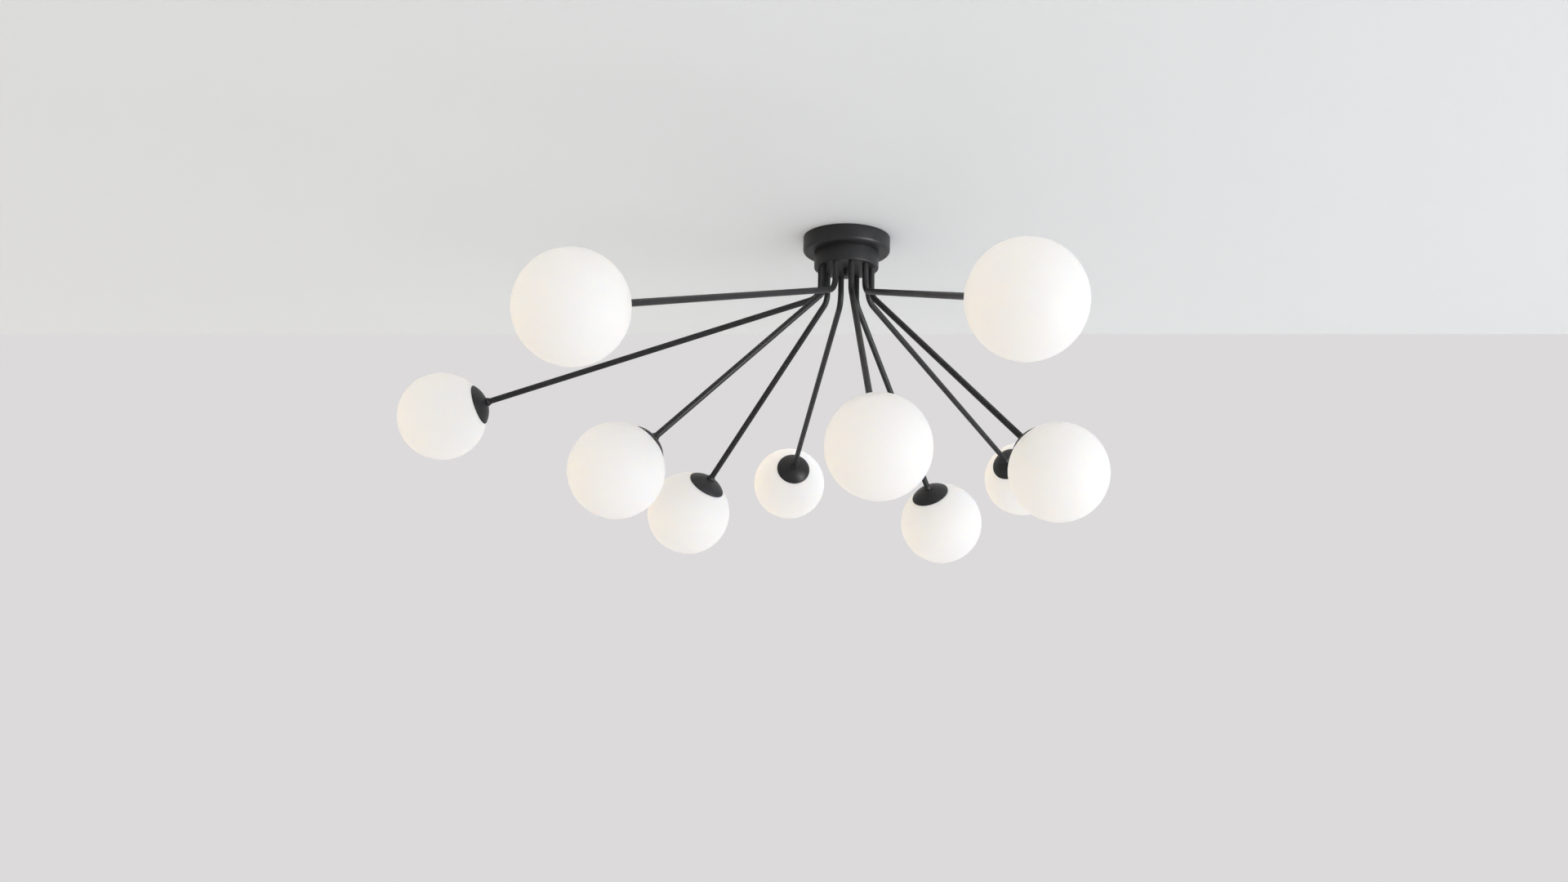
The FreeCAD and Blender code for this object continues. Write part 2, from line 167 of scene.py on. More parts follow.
class GlobeSizes(bpy.types.PropertyGroup):
    """Sizes of the glass globes and their domed caps"""

    diameter: FloatProperty(
        name="Globe diameter", description="Outside diameter of the glass",
        default=0.125, unit="LENGTH")
    wall: FloatProperty(
        name="Glass wall", description="Thickness of the blown glass",
        default=0.003, unit="LENGTH")
    lip_edge: FloatProperty(
        name="Lip edge", description="Rounding of the opening's melted lip",
        default=0.001, unit="LENGTH")
    opening: FloatProperty(
        name="Opening", description="Diameter of the hole under the cap",
        default=0.040, unit="LENGTH")
    cap_diameter: FloatProperty(
        name="Cap diameter", description="Across the domed cap", default=0.057, unit="LENGTH")
    cap_height: FloatProperty(
        name="Cap height", description="From the cap's rim to the top of its dome",
        default=0.012, unit="LENGTH")
    rim_edge: FloatProperty(
        name="Cap rim", description="Height of the cap's upright rim",
        default=0.0008, unit="LENGTH")
    cap_wall: FloatProperty(
        name="Cap wall", description="Thickness of the cap", default=0.0012, unit="LENGTH")
    seat_gap: FloatProperty(
        name="Seat gap", description="Gap between the cap's rim and the glass",
        default=0.0001, unit="LENGTH")
    groove_depth: FloatProperty(
        name="Groove depth", description="Depth of the ring groove under the neck",
        default=0.0012, unit="LENGTH")
    groove_width: FloatProperty(
        name="Groove width", description="Width of the ring groove", default=0.0008, unit="LENGTH")
    neck_rim: FloatProperty(
        name="Neck rim", description="How far the neck stands out round the tube",
        default=0.002, unit="LENGTH")
    neck_band: FloatProperty(
        name="Neck band", description="Height of the neck's straight band",
        default=0.001, unit="LENGTH")
    neck_taper: FloatProperty(
        name="Neck taper", description="Height of the neck's taper", default=0.0034, unit="LENGTH")
    neck_end_rim: FloatProperty(
        name="Neck end", description="Wall of the neck where the tube enters",
        default=0.0004, unit="LENGTH")
    boss_rim: FloatProperty(
        name="Boss rim", description="Wall of the boss inside the cap",
        default=0.003, unit="LENGTH")
    boss_depth: FloatProperty(
        name="Boss depth", description="Length of the boss inside the cap",
        default=0.0038, unit="LENGTH")
    segments: IntProperty(
        name="Globe segments", description="Faces round a globe", default=112, min=24)
    cap_segments: IntProperty(
        name="Cap segments", description="Faces round a cap", default=96, min=24)
    dome_steps: IntProperty(
        name="Dome steps", description="Faces along a cap's dome", default=24, min=4)


class Finishes(bpy.types.PropertyGroup):
    """Colours of the finishes"""

    coat_colour: FloatVectorProperty(
        name="Powder coat", description="Charcoal-black powder coat", subtype="COLOR", size=4,
        default=(0.0085, 0.0088, 0.0100, 1.0), min=0, max=1)
    coat_light: FloatVectorProperty(
        name="Powder coat, light", description="Paler grains of the powder coat", subtype="COLOR",
        size=4, default=(0.0150, 0.0155, 0.0172, 1.0), min=0, max=1)
    opal_colour: FloatVectorProperty(
        name="Opal glass", description="White of the opal glass", subtype="COLOR", size=4,
        default=(0.93, 0.93, 0.928, 1.0), min=0, max=1)
    opal_warm: FloatVectorProperty(
        name="Opal glass, warm", description="Warmer clouds in the opal glass", subtype="COLOR",
        size=4, default=(0.918, 0.908, 0.89, 1.0), min=0, max=1)
    zinc_colour: FloatVectorProperty(
        name="Zinc plate", description="Bright zinc plate", subtype="COLOR", size=4,
        default=(0.62, 0.63, 0.65, 1.0), min=0, max=1)
    ceramic_colour: FloatVectorProperty(
        name="Ceramic", description="Glazed white ceramic", subtype="COLOR", size=4,
        default=(0.86, 0.85, 0.81, 1.0), min=0, max=1)
    plastic_colour: FloatVectorProperty(
        name="Terminal plastic", description="Off-white moulded plastic", subtype="COLOR", size=4,
        default=(0.82, 0.80, 0.74, 1.0), min=0, max=1)
    brass_colour: FloatVectorProperty(
        name="Brass", description="Turned brass", subtype="COLOR", size=4,
        default=(0.78, 0.60, 0.30, 1.0), min=0, max=1)


class StageSettings(bpy.types.PropertyGroup):
    """The camera, the lamps and the plain surroundings"""

    camera_place: FloatVectorProperty(
        name="Camera", description="Where the camera stands", subtype="TRANSLATION", size=3,
        default=(-0.0825, -1.8766, -0.6755), unit="LENGTH")
    camera_pitch: FloatProperty(
        name="Pitch", description="How far the camera looks up", subtype="ANGLE",
        default=math.radians(11.44))
    camera_roll: FloatProperty(
        name="Roll", description="How far the camera leans", subtype="ANGLE",
        default=math.radians(1.30))
    focal_length: FloatProperty(
        name="Lens", description="Focal length on a sensor 36 mm wide, in millimetres",
        default=31.875)
    ceiling_edge_row: FloatProperty(
        name="Ceiling edge", description="Row of the picture where the panel ends, in pixels",
        default=409.0)
    ceiling_width: FloatProperty(
        name="Ceiling width", description="Width of the ceiling panel", default=6.4, unit="LENGTH")
    ceiling_depth: FloatProperty(
        name="Ceiling depth", description="From the ceiling panel's far edge to its near edge",
        default=5.0, unit="LENGTH")
    ceiling_colour: FloatVectorProperty(
        name="Ceiling", description="Plain pale ceiling panel, as it is seen", subtype="COLOR",
        size=4, default=(0.662, 0.71, 0.765, 1.0), min=0, max=1)
    ceiling_bounce: FloatVectorProperty(
        name="Ceiling bounce", description="Colour of the light that the ceiling panel sends back",
        subtype="COLOR", size=4, default=(0.93, 0.935, 0.94, 1.0), min=0, max=1)
    floor_level: FloatProperty(
        name="Floor level", description="Height of the floor below the ceiling",
        default=-2.3, unit="LENGTH")
    floor_width: FloatProperty(
        name="Floor width", description="Width and depth of the floor",
        default=16.0, unit="LENGTH")
    floor_colour: FloatVectorProperty(
        name="Floor", description="Plain pale floor, as it is seen", subtype="COLOR", size=4,
        default=(0.495, 0.515, 0.566, 1.0), min=0, max=1)
    floor_bounce: FloatVectorProperty(
        name="Floor bounce", description="Colour of the light that the floor sends back",
        subtype="COLOR", size=4, default=(0.82, 0.82, 0.82, 1.0), min=0, max=1)
    backdrop_colour: FloatVectorProperty(
        name="Backdrop", description="What is seen behind everything", subtype="COLOR", size=4,
        default=(0.715, 0.700, 0.706, 1.0), min=0, max=1)
    room_light: FloatProperty(
        name="Room light", description="Strength of the soft light from all round", default=1.57)
    room_left: FloatVectorProperty(
        name="Room light, left", description="Colour of the room light from the left",
        subtype="COLOR", size=4, default=(0.96, 0.74, 0.46, 1.0), min=0, max=1)
    room_right: FloatVectorProperty(
        name="Room light, right", description="Colour of the room light from the right",
        subtype="COLOR", size=4, default=(0.905, 0.925, 0.96, 1.0), min=0, max=1)
    room_turn: FloatVectorProperty(
        name="Room light, turn", description="Where the left colour ends and the right one "
        "begins, from -1 at the far left to 1 at the far right", size=2, default=(-0.9, 0.3))
    key_power: FloatProperty(
        name="Key lamp", description="Power of the large soft lamp on the right", default=9.5)
    key_place: FloatVectorProperty(
        name="Key lamp place", description="Where the key lamp stands", subtype="TRANSLATION",
        size=3, default=(2.0, -1.3, -1.2), unit="LENGTH")
    key_aim: FloatVectorProperty(
        name="Key lamp aim", description="Where the key lamp points", subtype="TRANSLATION",
        size=3, default=(0.0, 0.0, -0.25), unit="LENGTH")
    key_size: FloatProperty(
        name="Key lamp size", description="Side of the square key lamp",
        default=1.4, unit="LENGTH")
    metal_power: FloatProperty(
        name="Metal lamp", description="Power of the lamp that lights the coated metal only",
        default=200.0)
    metal_place: FloatVectorProperty(
        name="Metal lamp place", description="Where the metal lamp stands", subtype="TRANSLATION",
        size=3, default=(2.8, -2.0, -0.9), unit="LENGTH")
    metal_aim: FloatVectorProperty(
        name="Metal lamp aim", description="Where the metal lamp points", subtype="TRANSLATION",
        size=3, default=(0.0, 0.0, -0.1), unit="LENGTH")
    metal_size: FloatProperty(
        name="Metal lamp size", description="Side of the square metal lamp",
        default=2.0, unit="LENGTH")


SETTINGS = {
    "light_base": BaseSizes,
    "light_arms": ArmSizes,
    "light_globes": GlobeSizes,
    "light_finishes": Finishes,
    "light_stage": StageSettings,
}


def deselect_all():
    bpy.ops.object.select_all(action="DESELECT")


def select_only(piece):
    deselect_all()
    piece.select_set(True)
    bpy.context.view_layer.objects.active = piece


def start_outline(name, radius, height):
    """One vertex in the XZ plane, in edit mode, from which an outline is drawn."""
    deselect_all()
    bpy.ops.mesh.primitive_plane_add(size=radius)
    piece = bpy.context.object
    piece.name = name
    piece.data.name = name
    bpy.ops.object.mode_set(mode="EDIT")
    bpy.ops.mesh.select_mode(type="VERT")
    bpy.ops.mesh.select_all(action="SELECT")
    bpy.ops.mesh.merge(type="CENTER")
    bpy.ops.transform.translate(value=(radius, 0, height))
    return piece


def draw_outline(name, points):
    """Outline drawn from point to point, each given as (radius, height)."""
    piece = start_outline(name, *points[0])
    for here, there in zip(points, points[1:]):
        step = (there[0] - here[0], 0, there[1] - here[1])
        bpy.ops.mesh.extrude_region_move(TRANSFORM_OT_translate={"value": step})
    return piece


def close_outline(piece):
    """Joins the two free ends of an outline."""
    mesh = bmesh.from_edit_mesh(piece.data)
    for vertex in mesh.verts:
        vertex.select = len(vertex.link_edges) == 1
    mesh.select_flush_mode()
    bmesh.update_edit_mesh(piece.data)
    bpy.ops.mesh.edge_face_add()


def round_corner(piece, point, radius, segments):
    """Rounds the outline's corner that lies nearest to (radius, height)."""
    place = Vector((point[0], 0, point[1]))
    mesh = bmesh.from_edit_mesh(piece.data)
    nearest = min(mesh.verts, key=lambda vertex: (vertex.co - place).length)
    for vertex in mesh.verts:
        vertex.select = vertex is nearest
    mesh.select_flush_mode()
    bmesh.update_edit_mesh(piece.data)
    bpy.ops.mesh.bevel(offset=radius, segments=segments, affect="VERTICES")


def spin_outline(piece, steps):
    """Turns the outline into a closed solid round the Z axis."""
    bpy.ops.mesh.select_all(action="SELECT")
    bpy.ops.mesh.spin(steps=steps, angle=FULL_TURN, center=(0, 0, 0), axis=UP)
    bpy.ops.mesh.select_all(action="SELECT")
    bpy.ops.mesh.remove_doubles(threshold=SAME_POINT)
    bpy.ops.mesh.normals_make_consistent(inside=False)
    bpy.ops.object.mode_set(mode="OBJECT")


def smooth(piece, angle=SMOOTH_ANGLE):
    """Smooth shading that keeps edges sharper than an angle."""
    select_only(piece)
    bpy.ops.object.shade_smooth_by_angle(angle=angle)


def apply_modifier(piece, kind, **settings):
    """Gives a piece a modifier with its settings and applies it."""
    select_only(piece)
    modifier = piece.modifiers.new(kind.lower(), kind)
    for label, value in settings.items():
        setattr(modifier, label, value)
    bpy.ops.object.modifier_apply(modifier=modifier.name)


def put_in_place(piece, matrix):
    """Moves a piece made at the origin to its place and keeps that place in its mesh."""
    select_only(piece)
    piece.matrix_world = matrix
    bpy.ops.object.transform_apply(location=True, rotation=True, scale=True)


def copy_of(piece, name):
    """A copy with a mesh of its own."""
    select_only(piece)
    bpy.ops.object.duplicate()
    copy = bpy.context.object
    copy.name = name
    copy.data.name = name
    return copy


def remove(piece):
    select_only(piece)
    bpy.ops.object.delete()


def arc_points(centre_height, radius, start, end, steps):
    """Points (radius, height) on a circle round the axis point at a height, between two radii."""
    first = math.asin(start / radius)
    last = math.asin(end / radius)
    points = []
    for step in range(steps + 1):
        angle = first + (last - first) * step / steps
        points.append((radius * math.sin(angle), centre_height + radius * math.cos(angle)))
    return points


def arm_name(number):
    return "arm_%02d" % number


def bend_point(number):
    """Where an arm's upright stem line meets its straight run."""
    return Vector(ARM_JOINTS[arm_name(number)]["pos_m"])


def globe_centre(number):
    """Centre of an arm's globe. The side away from the arm is never cut, so it gives the place."""
    low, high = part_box("globe_%02d" % number)
    radius = bpy.context.scene.light_globes.diameter / 2
    bend = bend_point(number)
    place = []
    for axis in range(3):
        outward = low[axis] + high[axis] > 2 * bend[axis]
        place.append(high[axis] - radius if outward else low[axis] + radius)
    return Vector(place)


def arm_frame(number):
    """Frame of an arm's globe: its centre is the origin and Z points up the arm."""
    centre = globe_centre(number)
    z_axis = (bend_point(number) - centre).normalized()
    y_axis = z_axis.cross(UP).normalized()
    x_axis = y_axis.cross(z_axis)
    turn = Matrix((x_axis, y_axis, z_axis)).transposed().to_4x4()
    return Matrix.Translation(centre) @ turn


def cap_levels(globes):
    """Heights in a globe's own frame: the cap's seat, the top of its dome and its boss."""
    seat_radius = globes.diameter / 2 + globes.seat_gap
    seat = math.sqrt(seat_radius**2 - (globes.cap_diameter / 2)**2)
    top = seat + globes.cap_height
    return seat_radius, seat, top, top - globes.cap_wall - globes.boss_depth


def use_finish(piece, material):
    piece.data.materials.clear()
    piece.data.materials.append(material)


def coated_pieces():
    """The collection that the metal lamp lights, made on first use."""
    name = "coated_pieces"
    return bpy.data.collections.get(name) or bpy.data.collections.new(name)


def ride_for(piece, body, node, slot):
    """The piece rides on a body and stands in for a node, which it hides; a black_coat piece joins
    the coated pieces.
    """
    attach(piece, body)
    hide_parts(node)
    if slot == "black_coat":
        coated_pieces().objects.link(piece)


def new_group(name, inputs, outputs):
    """Shader node group with named sockets, and its input and output nodes."""
    group = bpy.data.node_groups.new(name, "ShaderNodeTree")
    for label, kind, value in inputs:
        socket = group.interface.new_socket(name=label, in_out="INPUT", socket_type=kind)
        socket.default_value = value
    for label, kind in outputs:
        group.interface.new_socket(name=label, in_out="OUTPUT", socket_type=kind)
    return group, group.nodes.new("NodeGroupInput"), group.nodes.new("NodeGroupOutput")


def feed(tree, node, given):
    """Feeds a node's sockets, each from another socket or with a plain value."""
    for label, value in given.items():
        if isinstance(value, bpy.types.NodeSocket):
            tree.links.new(value, node.inputs[label])
        else:
            node.inputs[label].default_value = value


def mix_colour(tree, factor, first, second):
    """Mix of two colours by a factor."""
    node = tree.nodes.new("ShaderNodeMix")
    node.data_type = "RGBA"
    feed(tree, node, {"Factor": factor, "A": first, "B": second})
    return node.outputs["Result"]


def noise(tree, place, scale, detail, roughness=0.5):
    """Noise texture on a place."""
    node = tree.nodes.new("ShaderNodeTexNoise")
    feed(tree, node, {"Vector": place, "Scale": scale, "Detail": detail, "Roughness": roughness})
    return node.outputs["Fac"]


def ranged(tree, value, low, high, new_low=0.0, new_high=1.0):
    """Value stretched from one range to another and kept inside it."""
    node = tree.nodes.new("ShaderNodeMapRange")
    feed(tree, node, {
        "Value": value, "From Min": low, "From Max": high, "To Min": new_low, "To Max": new_high,
    })
    return node.outputs["Result"]


def arithmetic(tree, operation, first, second):
    """Result of a Math node on two values."""
    node = tree.nodes.new("ShaderNodeMath")
    node.operation = operation
    feed(tree, node, {0: first, 1: second})
    return node.outputs[0]


def mix_shaders(tree, factor, first, second, output):
    """Leads a mix of two shaders to the tree's output."""
    node = tree.nodes.new("ShaderNodeMixShader")
    feed(tree, node, {"Fac": factor, 1: first, 2: second})
    tree.links.new(node.outputs[0], tree.nodes[output].inputs["Surface"])


def looked_at(tree):
    """1 for a ray that looks at the surface, also in gloss or through glass, otherwise 0."""
    rays = tree.nodes.new("ShaderNodeLightPath").outputs
    seen = arithmetic(tree, "MAXIMUM", rays["Is Camera Ray"], rays["Is Glossy Ray"])
    return arithmetic(tree, "MAXIMUM", seen, rays["Is Transmission Ray"])


def grain_group():
    """Fine grain with slow changes of tone: two colours in, colour, roughness and height out."""
    group, given, result = new_group(
        "Surface grain",
        [
            ("Base", "NodeSocketColor", (0.5, 0.5, 0.5, 1)),
            ("Light", "NodeSocketColor", (0.6, 0.6, 0.6, 1)),
            ("Grain Scale", "NodeSocketFloat", 900.0),
            ("Cloud Scale", "NodeSocketFloat", 14.0),
            ("Roughness Low", "NodeSocketFloat", 0.4),
            ("Roughness High", "NodeSocketFloat", 0.5),
        ],
        [
            ("Color", "NodeSocketColor"),
            ("Roughness", "NodeSocketFloat"),
            ("Height", "NodeSocketFloat"),
        ],
    )
    place = group.nodes.new("ShaderNodeTexCoord").outputs["Object"]
    grain = noise(group, place, given.outputs["Grain Scale"], detail=2.0, roughness=0.6)
    cloud = noise(group, place, given.outputs["Cloud Scale"], detail=3.0)
    spread = ranged(group, grain, low=0.42, high=0.72)
    drift = ranged(group, cloud, low=0.35, high=0.65)
    mean = arithmetic(group, "MULTIPLY", arithmetic(group, "ADD", spread, drift), 0.5)
    low, high = given.outputs["Roughness Low"], given.outputs["Roughness High"]
    feed(group, result, {
        "Color": mix_colour(group, mean, given.outputs["Base"], given.outputs["Light"]),
        "Roughness": ranged(group, drift, 0.0, 1.0, low, high),
        "Height": grain,
    })
    return group


def dust_group():
    """Thin dust that settles on faces that look up: a colour in, the dusted colour out."""
    group, given, result = new_group(
        "Settled dust",
        [
            ("Color", "NodeSocketColor", (0.5, 0.5, 0.5, 1)),
            ("Dust", "NodeSocketColor", (0.55, 0.53, 0.50, 1)),
            ("Amount", "NodeSocketFloat", 0.1),
        ],
        [("Color", "NodeSocketColor")],
    )
    axes = group.nodes.new("ShaderNodeSeparateXYZ")
    group.links.new(group.nodes.new("ShaderNodeNewGeometry").outputs["Normal"], axes.inputs[0])
    facing = ranged(group, axes.outputs["Z"], low=0.2, high=0.95)
    place = group.nodes.new("ShaderNodeTexCoord").outputs["Object"]
    blotches = noise(group, place, scale=60.0, detail=5.0, roughness=0.6)
    patches = ranged(group, blotches, low=0.35, high=0.7, new_low=0.25)
    settled = arithmetic(group, "MULTIPLY", facing, patches)
    mask = arithmetic(group, "MULTIPLY", settled, given.outputs["Amount"])
    colour = mix_colour(group, mask, given.outputs["Color"], given.outputs["Dust"])
    group.links.new(colour, result.inputs["Color"])
    return group


def place_group(tree, name, make, given):
    """Places the node group of that name, made on first use, and feeds it."""
    node = tree.nodes.new("ShaderNodeGroup")
    node.node_tree = bpy.data.node_groups.get(name) or make()
    feed(tree, node, given)
    return node.outputs


def new_material(name):
    """Material with nodes. Returns it with its node tree and its shader."""
    material = bpy.data.materials.new(name)
    material.use_nodes = True
    return material, material.node_tree, material.node_tree.nodes["Principled BSDF"]


def grained_material(
        name, base, light, grain_scale, cloud_scale, roughness, bump, dust, fixed=None):
    """Principled material with grain and settled dust, and with fixed values for other sockets."""
    if name in bpy.data.materials:
        return bpy.data.materials[name]
    material, tree, shader = new_material(name)
    grain = place_group(tree, "Surface grain", grain_group, {
        "Base": base, "Light": light, "Grain Scale": grain_scale, "Cloud Scale": cloud_scale,
        "Roughness Low": roughness[0], "Roughness High": roughness[1],
    })
    settled = place_group(tree, "Settled dust", dust_group, {
        "Color": grain["Color"], "Amount": dust,
    })
    relief = tree.nodes.new("ShaderNodeBump")
    feed(tree, relief, {"Strength": 1.0, "Distance": bump, "Height": grain["Height"]})
    feed(tree, shader, {
        "Base Color": settled["Color"], "Roughness": grain["Roughness"],
        "Normal": relief.outputs["Normal"], **(fixed or {}),
    })
    return material


def coat_material():
    """Satin charcoal-black powder coat with a fine orange-peel grain."""
    colours = bpy.context.scene.light_finishes
    return grained_material(
        "charcoal_powder_coat", colours.coat_colour, colours.coat_light,
        grain_scale=1100, cloud_scale=16, roughness=(0.40, 0.48), bump=0.00005, dust=0.06,
        fixed={"Specular IOR Level": 0.25})


def opal_material():
    """Satin opal glass, white all through, with faint warm clouds."""
    colours = bpy.context.scene.light_finishes
    return grained_material(
        "satin_opal_glass", colours.opal_colour, colours.opal_warm,
        grain_scale=700, cloud_scale=9, roughness=(0.34, 0.42), bump=0.000008, dust=0.05,
        fixed={
            "Subsurface Weight": 1.0, "Subsurface Radius": (1.0, 0.85, 0.65),
            "Subsurface Scale": 0.006, "IOR": 1.45,
        })


def zinc_material():
    """Bright zinc plate on steel."""
    colours = bpy.context.scene.light_finishes
    return grained_material(
        "bright_zinc_plate", colours.zinc_colour, light=(0.74, 0.74, 0.75, 1),
        grain_scale=420, cloud_scale=40, roughness=(0.24, 0.40), bump=0.00001, dust=0.06,
        fixed={"Metallic": 1.0})


def ceramic_material():
    """Glazed white ceramic."""
    colours = bpy.context.scene.light_finishes
    return grained_material(
        "glazed_ceramic", colours.ceramic_colour, light=(0.91, 0.90, 0.88, 1),
        grain_scale=300, cloud_scale=60, roughness=(0.16, 0.26), bump=0.00001, dust=0.05)


def lamp_material():
    """Milky shell of the capsule lamp."""
    return grained_material(
        "milky_lamp_shell", base=(0.88, 0.86, 0.80, 1), light=(0.93, 0.92, 0.88, 1),
        grain_scale=260, cloud_scale=50, roughness=(0.22, 0.32), bump=0.000008, dust=0.03)


def plastic_material():
    """Off-white moulded plastic of the terminal block."""
    colours = bpy.context.scene.light_finishes
    return grained_material(
        "terminal_plastic", colours.plastic_colour, light=(0.88, 0.86, 0.81, 1),
        grain_scale=800, cloud_scale=70, roughness=(0.45, 0.58), bump=0.00002, dust=0.12)


def brass_material():
    """Turned brass of the earth screw."""
    colours = bpy.context.scene.light_finishes
    return grained_material(
        "turned_brass", colours.brass_colour, light=(0.86, 0.70, 0.42, 1),
        grain_scale=600, cloud_scale=90, roughness=(0.22, 0.36), bump=0.00001, dust=0.05,
        fixed={"Metallic": 1.0})


class MakeCanopy(bpy.types.Operator):
    """Spins the canopy that meets the ceiling"""

    bl_idname = "ceiling_light.canopy"
    bl_label = "Canopy"
    bl_options = {"REGISTER", "UNDO"}

    def execute(self, context):
        base = context.scene.light_base
        radius = base.canopy_diameter / 2
        hole = base.wire_hole / 2
        floor = -base.canopy_height
        inner_floor = floor + base.wall
        inner = radius - base.wall
        piece = draw_outline("canopy_cup", [
            (radius, 0), (radius, floor), (hole, floor),
            (hole, inner_floor), (inner, inner_floor), (inner, 0),
        ])
        close_outline(piece)
        round_corner(piece, (radius, floor), base.canopy_edge, WIDE_EDGE_STEPS)
        round_corner(piece, (inner, inner_floor), base.canopy_edge - base.wall, EDGE_STEPS)
        round_corner(piece, (radius, 0), base.fine_edge, FINE_EDGE_STEPS)
        round_corner(piece, (inner, 0), base.fine_edge, HIDDEN_EDGE_STEPS)
        spin_outline(piece, base.canopy_segments)
        smooth(piece)
        use_finish(piece, coat_material())
        ride_for(piece, "base", "canopy", "black_coat")
        return {"FINISHED"}


class MakeCollar(bpy.types.Operator):
    """Spins the collar and bores its holes for the stems and the rod"""

    bl_idname = "ceiling_light.collar"
    bl_label = "Collar"
    bl_options = {"REGISTER", "UNDO"}

    def execute(self, context):
        base = context.scene.light_base
        arms = context.scene.light_arms
        radius = base.collar_diameter / 2
        inner = radius - base.wall
        top = -base.canopy_height
        bottom = top - base.collar_height
        floor_top = bottom + base.collar_floor
        piece = draw_outline("collar_cup", [
            (0, bottom), (radius, bottom), (radius, top),
            (inner, top), (inner, floor_top), (0, floor_top),
        ])
        round_corner(piece, (radius, bottom), base.collar_edge, EDGE_STEPS)
        round_corner(piece, (radius, top), base.collar_top_edge, TOP_EDGE_STEPS)
        spin_outline(piece, base.collar_segments)
        depth = DRILL_LENGTH_IN_FLOORS * base.collar_floor
        middle = bottom + base.collar_floor / 2
        stem_hole = arms.tube_diameter / 2 + arms.running_clearance
        places = [(Vector((0, 0, 0)), base.rod_hole / 2)]
        places += [(bend_point(number), stem_hole) for number in ARM_NUMBERS]
        for place, hole_radius in places:
            self.bore(piece, (place.x, place.y, middle), hole_radius, depth, arms.sides)
        smooth(piece)
        use_finish(piece, coat_material())
        ride_for(piece, "base", "collar", "black_coat")
        return {"FINISHED"}

    def bore(self, piece, place, radius, depth, sides):
        """Cuts one round hole through the collar's floor."""
        deselect_all()
        bpy.ops.mesh.primitive_cylinder_add(
            vertices=sides, radius=radius, depth=depth, location=place)
        drill = bpy.context.object
        apply_modifier(piece, "BOOLEAN", operation="DIFFERENCE", solver="EXACT", object=drill)
        remove(drill)


class MakeCapNut(bpy.types.Operator):
    """Spins the domed nut in the middle of the collar's underside"""

    bl_idname = "ceiling_light.cap_nut"
    bl_label = "Cap nut"
    bl_options = {"REGISTER", "UNDO"}

    def execute(self, context):
        base = context.scene.light_base
        radius = base.nut_diameter / 2
        bore = base.rod_hole / 2
        top = -base.canopy_height - base.collar_height
        tip = top - base.nut_height
        bore_end = tip + base.nut_roof
        piece = draw_outline("cap_nut_dome", [
            (0, bore_end), (bore, bore_end), (bore, top), (radius, top), (radius, tip), (0, tip),
        ])
        round_corner(piece, (radius, tip), base.nut_dome, EDGE_STEPS)
        round_corner(piece, (radius, top), base.fine_edge, HIDDEN_EDGE_STEPS)
        spin_outline(piece, base.nut_segments)
        smooth(piece)
        use_finish(piece, coat_material())
        ride_for(piece, "base", "cap_nut", "black_coat")
        return {"FINISHED"}


class MakeArmTubes(bpy.types.Operator):
    """Bends the ten tubes, from the lock nuts in the collar out to the globes' caps"""

    bl_idname = "ceiling_light.arm_tubes"
    bl_label = "Arm tubes"
    bl_options = {"REGISTER", "UNDO"}

    def execute(self, context):
        arms = context.scene.light_arms
        globes = context.scene.light_globes
        top = LOCK_NUTS_TOP + arms.thread_end
        cap_end = cap_levels(globes)[-1]
        for number in ARM_NUMBERS:
            piece = self.bent_tube(number, arms, top, cap_end)
            use_finish(piece, coat_material())
            ride_for(piece, arm_name(number), "arm_tube_%02d" % number, "black_coat")
        return {"FINISHED"}

    def bent_tube(self, number, arms, top, cap_end):
        """One tube: down the stem, round the bend and straight out to the cap."""
        bend = bend_point(number)
        centre = globe_centre(number)
        run = centre - bend
        out = run.normalized()
        heading = Vector((out.x, out.y, 0)).normalized()
        turn = math.acos(-out.z)
        trim = arms.bend_radius * math.tan(turn / 2)
        deselect_all()
        bpy.ops.mesh.primitive_circle_add(vertices=arms.sides, radius=arms.tube_diameter / 2)
        piece = bpy.context.object
        piece.name = "bent_tube_%02d" % number
        piece.data.name = piece.name
        bpy.ops.object.mode_set(mode="EDIT")
        bpy.ops.mesh.select_mode(type="VERT")
        bpy.ops.mesh.select_all(action="SELECT")
        bpy.ops.transform.translate(value=(bend.x, bend.y, top))
        straight = (0, 0, bend.z + trim - top)
        bpy.ops.mesh.extrude_region_move(TRANSFORM_OT_translate={"value": straight})
        pivot = bend + UP * trim + heading * arms.bend_radius
        bpy.ops.mesh.spin(steps=arms.bend_steps, angle=turn, center=pivot, axis=UP.cross(heading))
        length = run.length - trim - cap_end
        bpy.ops.mesh.extrude_region_move(TRANSFORM_OT_translate={"value": out * length})
        bpy.ops.mesh.select_all(action="SELECT")
        bpy.ops.mesh.normals_make_consistent(inside=False)
        bpy.ops.object.mode_set(mode="OBJECT")
        apply_modifier(
            piece, "SOLIDIFY", thickness=arms.tube_wall, offset=-1, use_even_offset=True)
        smooth(piece)
        return piece


